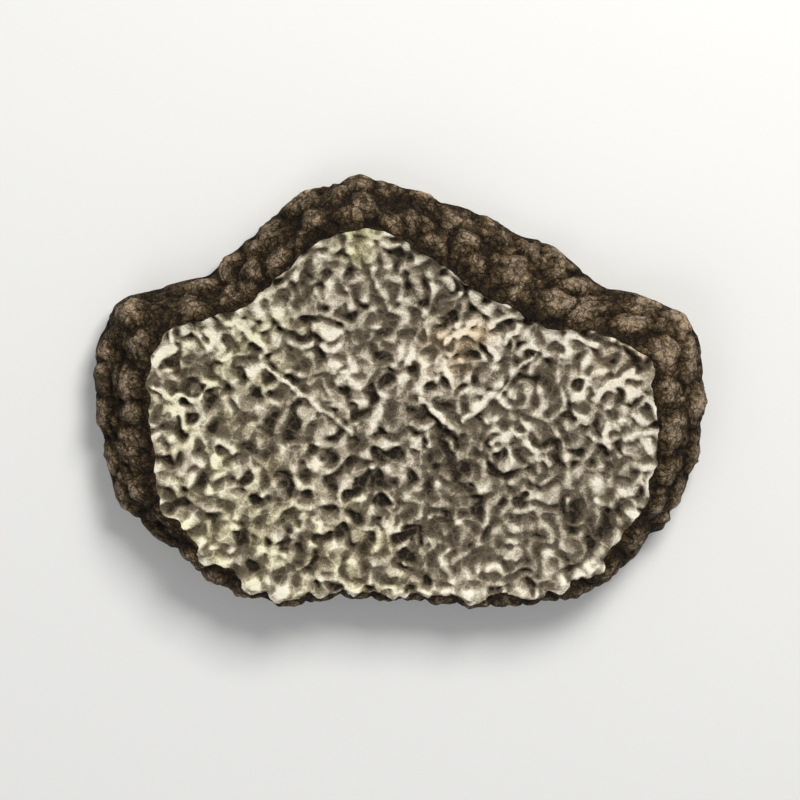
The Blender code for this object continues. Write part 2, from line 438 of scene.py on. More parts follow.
# Middle of a pocket or a knot, and its radius
DRAWN_POCKETS = [
    ((-1.2, 1.8), 0.36), ((-10.0, -6.5), 0.42), ((-16.0, 3.5), 0.60), ((-14.6, -0.4), 0.34),
    ((-3.4, -0.3), 0.34), ((-10.8, -4.8), 0.36), ((-1.5, -6.6), 0.34), ((-5.7, -9.2), 0.42),
    ((-1.8, -3.2), 0.40), ((-0.6, -3.4), 0.42), ((2.9, 1.9), 0.32), ((-6.2, -3.2), 0.36),
    ((-8.3, -9.6), 0.38), ((-12.6, -3.0), 0.32), ((-6.9, -6.3), 0.34), ((-3.8, -6.2), 0.36),
    ((-0.5, -9.3), 0.36), ((11.8, 1.9), 0.40), ((6.6, -3.4), 0.30), ((8.1, -6.5), 0.30),
]
DRAWN_KNOTS = [
    ((-15.8, 0.2), 0.50), ((-11.4, 6.1), 0.45), ((2.6, 3.2), 0.50), ((7.5, -10.2), 0.50),
    ((-6.8, -7.6), 0.42), ((1.0, -2.6), 0.42), ((-9.4, -9.9), 0.42), ((-1.3, -8.2), 0.40),
    ((-4.1, 2.1), 0.40), ((0.2, 3.4), 0.36), ((15.9, 1.3), 0.38), ((12.2, -0.6), 0.40),
    ((16.6, -2.2), 0.36), ((1.8, -9.5), 0.38),
]
print(len(DRAWN_VEINS), "veins,", len(DRAWN_POCKETS), "pockets,", len(DRAWN_KNOTS), "knots")

# %% [markdown]
# Each mark becomes a field that is 1 on the mark and fades to 0 within a quarter of a
# millimetre. They are read at the points of the mesh and not off the grid, so they can
# be as sharp as the mesh itself.

# %% Turn the marks into fields
POCKET_WAVER = 0.14
KNOT_WAVER = 0.13
VEIN_WAVER = 0.16
VEIN_RAGGED = 0.06
COLLAR_AWAY = 0.40
GROOVE_AWAY = 0.28


def distance_to_line(x, y, start, end):
    """Distance to a straight line between two places."""
    run_x = end[0] - start[0]
    run_y = end[1] - start[1]
    along = ((x - start[0]) * run_x + (y - start[1]) * run_y) / (run_x**2 + run_y**2)
    along = np.clip(along, 0, 1)
    return np.hypot(x - start[0] - along * run_x, y - start[1] - along * run_y)


def drawn_pockets(x, y):
    """1 in the pockets, 1 on the pale collars round them, and 1 on the knots."""
    inside = np.zeros_like(x)
    collars = np.zeros_like(x)
    knots = np.zeros_like(x)
    waver = POCKET_WAVER * ripples(x, y, 1.2, 78)
    for (middle_x, middle_y), radius in DRAWN_POCKETS:
        away = np.hypot(x - middle_x, y - middle_y) + waver
        inside = np.maximum(inside, smoothstep(radius + 0.15, radius - 0.1, away))
        off_collar = np.abs(away - radius - COLLAR_AWAY)
        collars = np.maximum(collars, smoothstep(0.34, 0.1, off_collar))
    waver = waver + KNOT_WAVER * ripples(x, y, 0.7, 80)
    for (middle_x, middle_y), radius in DRAWN_KNOTS:
        away = np.hypot(x - middle_x, y - middle_y) + waver
        knots = np.maximum(knots, 0.8 * smoothstep(radius + 0.25, radius - 0.2, away))
    return inside, collars, knots


def drawn_veins(x, y):
    """1 along the short veins, and 1 on the grooves beside them."""
    found = np.zeros_like(x)
    grooves = np.zeros_like(x)
    waver = VEIN_WAVER * ripples(x, y, 2.2, 77)
    ragged = VEIN_RAGGED * ripples(x, y, 0.8, 79)
    for start, end, half_width in DRAWN_VEINS:
        away = distance_to_line(x + waver, y - waver, start, end) + ragged
        found = np.maximum(found, smoothstep(half_width + 0.16, half_width - 0.10, away))
        off_groove = np.abs(away - half_width - GROOVE_AWAY)
        grooves = np.maximum(grooves, smoothstep(0.26, 0.08, off_groove))
    return found, grooves * (1 - found)


print("the marks can be read at any place")

# %% [markdown]
# ## A lattice of points
#
# The mesh is a set of rings, six points in the first and six more in each one after, so
# its triangles are all about the same size. Subdividing a hexagon in edit mode gives the
# same net, but numbering it directly is faster for a hundred thousand triangles. The
# upper face and the rind need the finest triangles. The underside, which mostly stays
# out of sight, has half as many rings and is joined on by one row of fans.

# %% Number the lattice
RINGS = 138
RIND_ROWS = 26
UNDER_RINGS = RINGS // 2
OVAL = 1.3


def ring_start(ring):
    """Number of the first point of a ring."""
    return 0 if ring == 0 else 1 + 3 * ring * (ring - 1)


def lattice_points(rings):
    """Share of the way out, and angle, of every point of a lattice."""
    out = [np.zeros(1)]
    turn = [np.zeros(1)]
    for ring in range(1, rings + 1):
        out.append(np.full(6 * ring, ring / rings))
        turn.append(np.arange(6 * ring) * (TURN / (6 * ring)))
    out = np.concatenate(out)
    turn = np.concatenate(turn)
    return out, np.arctan2(np.sin(turn), OVAL * np.cos(turn))


def lattice_triangles(rings):
    """Anticlockwise triangles between the rings."""
    found = []
    for ring in range(1, rings + 1):
        outer = ring_start(ring)
        inner = ring_start(ring - 1)
        side, step = np.divmod(np.arange(6 * ring), ring)
        a = outer + side * ring + step
        b = outer + (side * ring + step + 1) % (6 * ring)
        inner_count = max(6 * (ring - 1), 1)
        c = inner + (side * (ring - 1) + step) % inner_count
        found.append(np.stack([a, b, c], axis=1))
        d = inner + (side * (ring - 1) + step + 1) % inner_count
        between = step < ring - 1
        found.append(np.stack([b, d, c], axis=1)[between])
    return np.concatenate(found)


columns = 6 * RINGS
top_out, top_angle = lattice_points(RINGS)
under_out, under_angle = lattice_points(UNDER_RINGS)
under_out = under_out * (1 - 0.5 / UNDER_RINGS)
rim_angle = top_angle[ring_start(RINGS):]
print("upper face:", len(top_out), "points; underside:", len(under_out), "points")

# %% [markdown]
# ## Tones of the cut faces
#
# Now the fields meet the points of the mesh. A point's paleness starts from the marbling,
# fine in most places and coarse in some, read a little askew so that the grid never
# shows. A ramp in a material could do the colouring alone, but the relief needs the same
# numbers, so they are worked out here once.

# %% Blend fine and coarse marbling
# Where the marbling is coarse, and where it is paler or darker than elsewhere:
# place, radius and strength of each soft spot
COARSE_SPOTS = [(-6, -5, 5.0, 1.0), (-13, 1, 3.0, 0.5), (1, 3, 2.5, 0.5)]
TONE_AND_SHADE_SPOTS = [
    (-17, -1, 2.0, 0.2), (-12.5, 6, 1.8, 0.5), (16, -3, 3.0, 0.1), (6, -7, 5.0, -0.15),
    (0, 10, 2.0, 0.3), (-8, 6, 1.8, 0.3), (0, 6, 1.8, -1.0), (4, 6, 1.4, 0.8),
    # The first spot on the next line, by the near edge at the lower right, is partly painted
    # shade
    (12.5, -9.5, 2.5, -0.85), (-8.5, -5, 2.2, 0.1), (3, -9.5, 2.5, -0.5),
    (-9, -1.5, 2.4, -0.4), (12, -2, 2.0, 0.1), (-14, 2, 2.0, -0.3),
]
MOST_COARSE = 0.85
STRAY = 0.14


def soft_spots(x, y, spots):
    """Soft round spots added up, each given by place, radius and strength."""
    total = np.zeros_like(x)
    for spot_x, spot_y, radius, strength in spots:
        away_squared = (x - spot_x) ** 2 + (y - spot_y) ** 2
        total += strength * np.exp(-away_squared / (2 * radius**2))
    return total


def marbling(fine_field, coarse_field, x, y):
    """Paleness of the flesh: fine in most places, coarse in some."""
    stray_x = STRAY * ripples(x, y, 2.0, 63)
    stray_y = STRAY * ripples(x, y, 2.0, 64)
    fine = face_grid.read(fine_field, x + stray_x, y + stray_y)
    coarse = face_grid.read(coarse_field, x + stray_x, y + stray_y)
    share = np.clip(soft_spots(x, y, COARSE_SPOTS), 0, MOST_COARSE)
    return (fine * (1 - share) + coarse * share) / np.sqrt((1 - share) ** 2 + share**2)


coarse_places = ", ".join(str(spot[:2]) for spot in COARSE_SPOTS)
print("the marbling is coarsest near", coarse_places)

# %% [markdown]
# On the upper face, pockets darken the flesh, and collars, veins and knots make it
# paler. A few pockets have opened into deep pits. Soft tones come last, because no slice
# dries evenly; the dark spot by the near edge at the lower right is partly painted shade.
# The underside, which nobody has seen, gets the grown marbling alone.

# %% Read the tones of both faces
POCKET_DARK = 1.6
COLLAR_PALE = 1.0
GROOVE_DARK = 0.45
VEIN_PALE = 1.3
VEIN_SHARE = 0.85
POCKET_OPEN = 0.8
PIT_BLUR = 0.4


def open_pits(grid, pale, x, y, seed):
    """1 in the few pockets that have opened into deep pits."""
    chance = grid.read(grid.noise(PIT_BLUR, seed), x, y)
    return smoothstep(0.9, 1.7, 0.75 * chance - 0.75 * pale)


top_x, top_y = to_xy(ring_radius(top_out, top_angle, 1.0), top_angle)
in_pocket, on_collar, on_knot = drawn_pockets(top_x, top_y)
on_vein, in_groove = drawn_veins(top_x, top_y)
on_mark = np.maximum(on_vein, on_knot)
top_pale = marbling(upper_fine, upper_coarse, top_x, top_y)
top_pale = top_pale - POCKET_DARK * in_pocket + COLLAR_PALE * on_collar
top_pale = top_pale - GROOVE_DARK * in_groove
top_pale = top_pale + VEIN_SHARE * np.maximum(VEIN_PALE - top_pale, 0) * on_mark
top_pits = open_pits(face_grid, top_pale, top_x, top_y, 21)
top_pits = np.maximum(top_pits, POCKET_OPEN * in_pocket)
top_pale = top_pale + soft_spots(top_x, top_y, TONE_AND_SHADE_SPOTS)
top_long = np.maximum(face_grid.read(upper_long, top_x, top_y), VEIN_SHARE * on_mark)

under_x, under_y = to_xy(ring_radius(under_out, under_angle, 0.0), under_angle)
under_pale = marbling(lower_fine, lower_coarse, under_x, under_y)
under_pits = open_pits(face_grid, under_pale, under_x, under_y, 41)
under_long = face_grid.read(lower_long, under_x, under_y)
print("open pits cover", (top_pits > 0.5).mean().round(3), "of the upper face")

# %% [markdown]
# ## Relief of the cut faces
#
# Dark flesh shrinks more than the veins when it dries, so the veins stand up as a net
# and the pockets sink between them. The pits go deeper, and there are four short cracks.
# A Displace modifier could sink them too, but it needs a texture, and the depths are
# already here as numbers. On the rest spot the relief is nearly flat, as the slice
# carries its weight there.

# %% Turn the tones into relief
POCKET_DEPTH = 0.19
PIT_DEPTH = 0.22
CRACK_DEPTH = 0.35
SPOT_RELIEF = 0.12
CRACKS = [
    ((0.7, -2.0), (2.1, -1.55)), ((2.1, -1.55), (3.8, -2.2)),
    ((5.3, -0.7), (8.3, 3.0)), ((-13.9, 7.2), (-14.7, 5.2)),
]


def cracks(x, y):
    """1 in the cracks, 0 beside them."""
    found = np.zeros_like(x)
    waver = 0.12 * ripples(x, y, 1.3, 90)
    for start, end in CRACKS:
        away = distance_to_line(x + waver, y + waver, start, end)
        found = np.maximum(found, smoothstep(0.30, 0.08, away))
    return found


def face_relief(pale, long_vein, pits, crack):
    """Depth below the tops of the veins."""
    sunk = POCKET_DEPTH * (1 - smoothstep(-0.8, 0.5, pale)) + PIT_DEPTH * pits
    return sunk * (1 - 0.9 * long_vein) + CRACK_DEPTH * crack


top_crack = cracks(top_x, top_y)
top_sunk = face_relief(top_pale, top_long, top_pits, top_crack)
under_sunk = face_relief(under_pale, under_long, under_pits, 0)
from_spot = np.hypot(under_x - rest_x, under_y - rest_y)
off_spot = smoothstep(REST_RADIUS - 0.5, REST_RADIUS + 1.5, from_spot)
under_sunk = under_sunk * (SPOT_RELIEF + (1 - SPOT_RELIEF) * off_spot)
print("deepest pit, mm:", top_sunk.max().round(2))

# %% [markdown]
# ## The rind
#
# The rind is the truffle's thin, hard skin. Its wall runs from the upper cut edge down
# and out to the lower one, in rows of points that continue the rings of the upper face.
# Extruding the edge would make the same rows, but here the outline already gives the
# radius at every height. Noise for the rind lives on a grid of its own: once round the
# slice is its width, so the pattern closes without a seam.

# %% Roll out the wall of the rind
WALL_SPAN = 5.0

wall_rows = np.linspace(1.0, 0.0, RIND_ROWS + 1)
wall_grid = np.meshgrid(wall_rows, rim_angle, indexing="ij")
wall_height, wall_angle = (part.ravel() for part in wall_grid)
wall_x, wall_y = to_xy(rind_reach(wall_angle, wall_height), wall_angle)
wall_low = lift(wall_x, wall_y)
wall_high = slab_top(wall_x, wall_y, np.ones_like(wall_x))
wall_z = wall_low + wall_height * (wall_high - wall_low)
wall = np.stack([wall_x, wall_y, wall_z], axis=1)

rind_steps = np.linalg.norm(np.diff(wall[:columns], axis=0, append=wall[:1]), axis=1)
rind_length = rind_steps.sum()
wall_along = np.tile(np.concatenate([[0], np.cumsum(rind_steps)[:-1]]), RIND_ROWS + 1)
wall_up = wall_height * WALL_SPAN
rind_grid = Grid(width=rind_length, height=12.0, cell=0.08)


def rind_noise(blur, seed, stretch=1.0, bend=0.0):
    """Noise at every point of the rind, which can be stretched along it or bent."""
    field = rind_grid.noise(blur, seed)
    return rind_grid.read(field, wall_along / stretch, wall_up + bend)


print("the rind is", rind_length.round(1), "mm round, with", len(wall), "points")

# %% [markdown]
# The skin is covered with low warts, each a small many-sided pyramid. Between them run
# narrow furrows. A Voronoi texture would make such cells, but here they have to raise
# the mesh. So the tops of the warts are scattered round the rind, and each point of the
# mesh compares its distance to the two nearest tops: where both are the same, it is in a
# furrow.

# %% Scatter the warts
WART_PITCH = 2.3
WART_ROWS = 2
WART_SHIFT = 0.28
WART_STRAY = 0.22
WART_SEED = 5
# Shares of the pitch
WART_FOOT = 0.62
FURROW_WIDTH = 0.30


def wart_tops():
    """Where the warts stand: a row of them round the foot and one round the top."""
    draw = random.Random(WART_SEED)
    count = round(TURN * (edge_radii + flares / 2).mean() / WART_PITCH)
    tops = []
    for row in range(WART_ROWS):
        for index in range(count):
            turn = index + row / WART_ROWS + draw.uniform(-WART_SHIFT, WART_SHIFT)
            height = (row + 0.5 + draw.uniform(-WART_SHIFT, WART_SHIFT)) / WART_ROWS
            tops.append((TURN * turn / count, height))
    angle, height = np.array(tops).T
    x, y = to_xy(rind_reach(angle, height), angle)
    return np.stack([x, y, lift(x, y) + height * RIM_THICKNESS], axis=1)


def nearest_two(points, tops):
    """Distance to the nearest wart top and to the next, by the warts' own sizes."""
    sizes = np.random.default_rng(WART_SEED).uniform(0.8, 1.25, len(tops))
    away = np.linalg.norm(points[:, None, :] - tops[None, :, :], axis=2) / sizes
    two = np.partition(away, 1, axis=1)[:, :2]
    return two.min(axis=1), two.max(axis=1)


strayed = np.stack([rind_noise(0.4, 310 + axis) for axis in range(3)], axis=1)
near, next_near = nearest_two(wall + WART_STRAY * strayed, wart_tops())
pyramid = np.clip(1 - near / (WART_FOOT * WART_PITCH), 0, 1)
furrow = 1 - smoothstep(0.0, FURROW_WIDTH * WART_PITCH, next_near - near)
wart = np.clip(pyramid + 0.35 * (1 - furrow) - 0.1, 0, 1)
print("warts:", len(wart_tops()))

# %% [markdown]
# Drying has wrinkled the skin between and over the warts: fine ridges that climb the
# wall, shallow dents, grit, and a few long creases. Each is a noise of its own, and all
# are added to the height of the warts.

# %% Wrinkle the rind
WART_HEIGHT = 0.42
WRINKLE_HEIGHT = 0.06
DENT_HEIGHT = 0.10
GRIT_HEIGHT = 0.035
CREASE_DEPTH = 0.09
CREASE_WIDTH = 0.22

bend = 0.5 * rind_noise(0.9, 303)
ridge_bend = 0.6 * rind_noise(1.0, 305)
ridges = rind_grid.read(rind_grid.noise(0.2, 306), wall_along + ridge_bend, wall_up / 2.8)
wrinkle = 0.6 * rind_noise(0.2, 300, 2.2, bend) + 0.8 * ridges
dents = rind_noise(0.8, 301)
grit = rind_noise(0.13, 302)
crease = smoothstep(CREASE_WIDTH, 0.0, np.abs(rind_noise(0.55, 304, 1.5, bend)))
rind_rise = WART_HEIGHT * wart + WRINKLE_HEIGHT * wrinkle + DENT_HEIGHT * dents
rind_rise = rind_rise + GRIT_HEIGHT * grit - CREASE_DEPTH * crease
print("the rind rises by up to", rind_rise.max().round(2), "mm")

# %% [markdown]
# The rise is applied along the rind's own outward direction, which the cross product of
# two neighbouring steps gives. At the two cut edges the knife has gone through the
# warts, so only half their height is left there, and it must point straight out, or
# the edges would wander up and down.

# %% Push the rind out along its normals
CUT_WART = 0.5
CUT_FADE = 0.12


def wall_normals(points):
    """Outward directions of the rind, from its rows and columns of points."""
    sheet = points.reshape(RIND_ROWS + 1, columns, 3)
    along = np.roll(sheet, -1, axis=1) - np.roll(sheet, 1, axis=1)
    down = np.gradient(sheet, axis=0)
    normals = np.cross(down, along)
    return (normals / np.linalg.norm(normals, axis=2, keepdims=True)).reshape(-1, 3)


normals = wall_normals(wall)
outward = np.stack([*to_xy(1, wall_angle), np.zeros_like(wall_angle)], axis=1)
if (normals * outward).sum() < 0:
    normals = -normals
off_foot = smoothstep(0.0, CUT_FADE, wall_height)
off_cuts = off_foot * smoothstep(1.0, 1 - CUT_FADE, wall_height)
direction = outward + (normals - outward) * off_cuts[:, None]
wall = wall + direction * (rind_rise * (CUT_WART + (1 - CUT_WART) * off_cuts))[:, None]
print("the rind's box, mm:", np.ptp(wall, axis=0).round(2))

# %% [markdown]
# ## The lip
#
# On the near side the knife has dragged the flesh out over the rind, in about ten soft
# lobes, and between them the edge has shrunk back. Pulling points by hand with
# proportional editing would do it, but a list of lobes can be changed at any time. Each
# lobe has a middle and a half width in degrees, and a reach.

# %% Hang the lip over the rind
LIP_LOBES = [
    (217.5, 4.0, 0.22), (229.8, 6.5, 0.30), (237.0, 5.5, 0.40), (255.0, 6.5, 0.42),
    (266.5, 4.0, 0.22), (277.0, 4.5, 0.22), (289.5, 5.0, 0.36), (303.0, 5.6, 0.40),
    (311.5, 5.2, 0.30), (319.0, 4.2, 0.32),
]
NEAR_START = 212.0
NEAR_END = 324.0
NEAR_FADE = 8.0
NEAR_RETREAT = 0.35
WAVE_REACH = 0.10
RAG_REACH = 0.07

rim_degrees = np.degrees(rim_angle) % 360
rag = rind_noise(0.3, 320)[:columns]
hanging = np.zeros(columns)
lip_reach = np.zeros(columns)
for middle, half_width, reach in LIP_LOBES:
    from_middle = np.abs(rim_degrees - middle + 0.6 * rag)
    lobe = smoothstep(1.0, 0.0, from_middle / half_width)
    hanging = np.maximum(hanging, lobe)
    lip_reach = np.maximum(lip_reach, reach * lobe)
near_side = smoothstep(NEAR_START, NEAR_START + NEAR_FADE, rim_degrees)
near_side = near_side * smoothstep(NEAR_END, NEAR_END - NEAR_FADE, rim_degrees)
waves = rind_noise(0.6, 321)[:columns]
lip_reach = lip_reach - NEAR_RETREAT * near_side + WAVE_REACH * waves
drape = np.tile(lip_reach, RIND_ROWS + 1) * smoothstep(0.55, 1.0, wall_height)
wall = wall + outward * drape[:, None]
print("the lip reaches from", lip_reach.min().round(2), "to", lip_reach.max().round(2), "mm")

# %% [markdown]
# ## Putting the surface together
#
# The upper face stops at the rind's top row and the underside just short of its bottom
# row. Near the rim the faces take over the rind's small ins and outs, so that no
# triangle folds over. Separate meshes could be bridged in edit mode, but here every
# point has a number, so the triangles between them can be written down directly.

# %% Fit the faces to the rim
RIM_BLEND = 0.11
LIP_ROUGHNESS = 0.05
RIM_RELIEF = 0.35

rim_order = np.argsort(rim_angle % TURN)
rim_turn = (rim_angle % TURN)[rim_order]


def from_rim(values, angle):
    """Values of the rim's points, read at any angle."""
    return np.interp(angle, rim_turn, values[rim_order], period=TURN)


def follow_rim(x, y, angle, out, shift):
    """Moves the outer rings of a face by the rind's own shift, fading inwards."""
    moved = from_rim(shift, angle) * smoothstep(1 - RIM_BLEND, 1.0, out)
    return x + moved * np.cos(angle), y + moved * np.sin(angle)


top_shift = (rind_rise * CUT_WART)[:columns] + lip_reach + RAG_REACH * rag
foot_shift = (rind_rise * CUT_WART)[-columns:]
top_x, top_y = follow_rim(top_x, top_y, top_angle, top_out, top_shift)
under_x, under_y = follow_rim(under_x, under_y, under_angle, under_out, foot_shift)

top_fade = RIM_RELIEF + (1 - RIM_RELIEF) * smoothstep(1.0, 1 - 1.5 / RINGS, top_out)
lip_place = smoothstep(LIP_START + 0.03, 1.0, top_out)
lip_rag = LIP_ROUGHNESS * ripples(top_x, top_y, 1.5, 61) * lip_place
top_z = slab_top(top_x, top_y, top_out) - top_sunk * top_fade + lip_rag
under_fade = smoothstep(1.0, 1 - 1.5 / UNDER_RINGS, under_out)
under_z = lift(under_x, under_y) + under_sunk * under_fade

top = np.stack([top_x, top_y, top_z], axis=1)
under = np.stack([under_x, under_y, under_z], axis=1)
wall[:columns] = top[ring_start(RINGS):]
points = np.concatenate([top, wall[columns:], under])
print("points:", len(points))

# %% [markdown]
# The triangles come next: two for each square of the rind, and a row of fans that joins
# its fine foot to the coarser underside. The underside's own triangles are turned round,
# so that they face down and out.

# %% Join everything in one closed mesh
def wall_index(row, column):
    """Number of a rind point: the top row belongs to the upper face."""
    column = column % columns
    first = np.where(row == 0, ring_start(RINGS), len(top) + (row - 1) * columns)
    return first + column


squares = np.meshgrid(np.arange(RIND_ROWS), np.arange(columns), indexing="ij")
row, column = (part.ravel() for part in squares)
a = wall_index(row, column)
b = wall_index(row, column + 1)
c = wall_index(row + 1, column)
d = wall_index(row + 1, column + 1)
wall_triangles = np.concatenate([np.stack([a, c, b], axis=1), np.stack([b, c, d], axis=1)])

first_under = len(top) + RIND_ROWS * columns
under_triangles = lattice_triangles(UNDER_RINGS)[:, ::-1] + first_under
under_rim = first_under + ring_start(UNDER_RINGS)
segment = np.arange(columns // 2)
foot = [wall_index(RIND_ROWS, 2 * segment + step) for step in range(3)]
near_rim = under_rim + segment
far_rim = under_rim + (segment + 1) % (columns // 2)
fans = np.concatenate([
    np.stack([foot[0], near_rim, foot[1]], axis=1),
    np.stack([near_rim, far_rim, foot[1]], axis=1),
    np.stack([far_rim, foot[2], foot[1]], axis=1),
])
top_triangles = lattice_triangles(RINGS)
triangles = np.concatenate([top_triangles, wall_triangles, fans, under_triangles])
print("triangles:", len(triangles))

# %% [markdown]
# Its box now has to be the measured one: the middle of the slice over the origin, its
# rest spot at height 0, and the same length and width, which takes a stretch of less
# than one part in a hundred. Object transforms could do that, but the points themselves
# are moved, so that the mesh needs no transform of its own.

# %% Set the surface on its measured place
low = points.min(axis=0)
high = points.max(axis=0)
points = points - np.array([(low[0] + high[0]) / 2, (low[1] + high[1]) / 2, low[2]])
fit = slice_size[:2] / (high - low)[:2]
points[:, :2] *= fit
print("fit to the measured length and width:", fit.round(4))
print("height, mm:", (high - low)[2].round(2))

mesh = bpy.data.meshes.new("marbled_slice")
mesh.vertices.add(len(points))
mesh.vertices.foreach_set("co", (points * MM).ravel())
mesh.loops.add(len(triangles) * 3)
mesh.loops.foreach_set("vertex_index", triangles.ravel())
mesh.polygons.add(len(triangles))
mesh.polygons.foreach_set("loop_start", np.arange(0, len(triangles) * 3, 3))
mesh.update(calc_edges=True)
mesh.validate()
mesh.shade_smooth()
marbled_slice = bpy.data.objects.new("marbled_slice", mesh)
bpy.context.scene.collection.objects.link(marbled_slice)

# %% [markdown]
# ## What each point knows
#
# The finish needs more than position: how pale the flesh is, where the long veins and
# the pits are, and where the slice has an olive or a rusty cast. An image could hold
# that, but named attributes on the mesh are as fine as its points and need no map, and
# a material can read them.

# %% Store the flesh on the mesh
DARKEST = -1.4
OLIVE_SPOTS = [
    (-12, -8, 4.0, 0.45), (-15, 1, 3.0, 0.3), (-3.2, 12.3, 1.1, 1.6),
    (-10, 5, 2.5, 0.4), (-3, -11, 3.0, 0.35),
]
RUST_SPOTS = [(3.2, 4.2, 1.1, 0.75), (15.5, 4.5, 1.5, 0.4), (5.0, 5.4, 0.9, 0.35)]
no_wall = np.zeros(RIND_ROWS * columns)
no_under = np.zeros(len(under))


def store(name, on_top, on_wall, on_under):
    """Keeps one number for every point: upper face, rind and underside."""
    values = np.concatenate([on_top, on_wall, on_under]).astype(np.float32)
    layer = mesh.attributes.new(name, "FLOAT", "POINT")
    layer.data.foreach_set("value", values)


def casts(x, y, spots, seed):
    """A colour cast: soft spots at these places, broken up by ripples."""
    broken = 1 + 0.5 * ripples(x, y, 3.0, seed)
    return np.clip(soft_spots(x, y, spots) * broken, 0, 1)


pale_on_wall = 0.2 + 0.7 * grit[columns:]
store("pale", np.maximum(top_pale, DARKEST), pale_on_wall, np.maximum(under_pale, DARKEST))
store("long_vein", top_long, no_wall, under_long)
store("open_pit", np.maximum(top_pits, top_crack), no_wall, under_pits)
store("olive", casts(top_x, top_y, OLIVE_SPOTS, 71), no_wall, no_under)
store("rust", casts(top_x, top_y, RUST_SPOTS, 73), no_wall, no_under)
print("attributes:", [layer.name for layer in mesh.attributes])

# %% [markdown]
# Three more numbers say where the flesh ends. The lip is a bright, ragged line inside
# the rim, brightest in the lobes, where flesh also hangs over the top of the rind. The
# skin is everything beyond it. On the skin, wear has left the tops of the warts lighter
# than the furrows. Two sides of the rind are painted lighter, as painted light where the
# lamps leave them dim, and the rind just under the lip is painted darker, as painted shade.

# %% Store the lip, the skin and the rind's tone, with painted light and shade
LIP_PLACE = (0.935, 0.965)
LIP_DRAPE = 0.10
FAR_SIDE_LIP = 0.25
NEAR_SIDE_LIP = 0.55

lip_line = smoothstep(*LIP_PLACE, top_out)
nearness = smoothstep(3, -8, top_y)
lip_strength = FAR_SIDE_LIP + (NEAR_SIDE_LIP - FAR_SIDE_LIP) * nearness
lip_broken = smoothstep(-0.6, 0.8, ripples(top_x, top_y, 2.0, 62)) * lip_strength
lip_hanging = 0.7 * smoothstep(0.2, 0.9, from_rim(hanging, top_angle))
flesh_over = near_side * (0.25 + 0.2 * rind_noise(0.35, 322)[:columns])
flesh_over = np.clip(0.7 * hanging + flesh_over, 0, 1)
wall_flesh = np.tile(flesh_over, RIND_ROWS)
lip_on_top = lip_line * np.maximum(lip_broken, lip_hanging)
store("lip", lip_on_top, 0.35 * wall_flesh, 0.4 * smoothstep(0.93, 0.975, under_out))

bare_rim = smoothstep(0.25, 0.05, from_rim(flesh_over, top_angle))
skin_on_top = smoothstep(1 - 2.2 / RINGS, 1.0, top_out) * bare_rim
wall_depth = 1 - wall_height[columns:]
skin_on_wall = smoothstep(-0.02, 0.03, wall_depth - LIP_DRAPE * wall_flesh)
store("skin", skin_on_top, skin_on_wall, smoothstep(1 - 1.2 / UNDER_RINGS, 1.0, under_out))


def painted_side_light(middle, spread, strength):
    """Painted light: a soft lightening of the rind round this bearing, in degrees."""
    off = (np.degrees(wall_angle) - middle + 180) % 360 - 180
    return strength * np.exp(-((off / spread) ** 2))


# Painted light on the rind's right and left sides, and painted shade just under the lip
painted_light_sides = painted_side_light(11.5, 35, 0.4) + painted_side_light(165, 48, 0.24)
painted_shade_under_lip = smoothstep(0.80, 0.97, wall_height)
wear_and_painted_light = wart - 0.5 * crease + 0.12 * wrinkle + 0.10 * grit - 0.35 * painted_shade_under_lip
wear_and_painted_light = np.clip(wear_and_painted_light + painted_light_sides, 0, 1.3)
store("wart", np.full(len(top), 0.3), wear_and_painted_light[columns:], np.full(len(under), 0.3))
print("skin covers", skin_on_wall.mean().round(2), "of the rind's wall")

# %% [markdown]
# ## A flat map of the surface
#
# A texture painter, or a game that needs its colours as an image, has to know how the
# surface unrolls. Smart UV Project cuts a bumpy surface like this into crumbs. The
# slice has an obvious pattern instead: two flat faces, and the rind as a long strip,
# which is cut in four and stacked.

# %% Unroll the slice
MAP_WIDTH = 76.0
STRIPS = 4
STRIP_HEIGHT = 5.6
MARGIN = 0.8
UNDER_SCALE = 0.8
uv = np.zeros((len(triangles), 3, 2))
top_faces = len(top_triangles)
wall_faces = len(wall_triangles)
top_corner = points[: len(top), :2].min(axis=0)
top_uv = points[:, :2] - top_corner + MARGIN
uv[:top_faces] = top_uv[triangles[:top_faces]]

strip_columns = columns // STRIPS
strip_width = rind_length / STRIPS
# The corners of each triangle, in the order in which the triangles were made
corner_column = np.concatenate([
    np.stack([column, column, column + 1], axis=1),
    np.stack([column + 1, column, column + 1], axis=1),
])
corner_row = np.concatenate([
    np.stack([row, row + 1, row], axis=1),
    np.stack([row, row + 1, row + 1], axis=1),
])
strip = (np.tile(column, 2) // strip_columns)[:, None]
first_strip = points[: len(top), 1].max() - top_corner[1] + 3 * MARGIN
wall_u = MARGIN + (corner_column - strip * strip_columns) * (strip_width / strip_columns)
wall_v = first_strip + strip * (STRIP_HEIGHT + MARGIN)
wall_v = wall_v + (1 - corner_row / RIND_ROWS) * STRIP_HEIGHT
uv[top_faces : top_faces + wall_faces] = np.stack([wall_u, wall_v], axis=2)

under_uv = (points[:, :2] - points[:, :2].min(axis=0)) * UNDER_SCALE
under_uv = under_uv + (strip_width + 3 * MARGIN, first_strip)
uv[top_faces + wall_faces :] = under_uv[triangles[top_faces + wall_faces :]]
flat_map = mesh.uv_layers.new(name="OFBake")
flat_map.data.foreach_set("uv", (uv / MAP_WIDTH).astype(np.float32).ravel())
print("map uses", (uv.reshape(-1, 2).max(axis=0) / MAP_WIDTH).round(2), "of the square")

# %% [markdown]
# ## The finish
#
# One material covers the slice, because the flesh runs out into the skin with no gap.
# Two materials on separate faces would leave a stair-stepped border between them. The
# nodes are made by a few short helpers, so that the recipe itself stays easy to read.

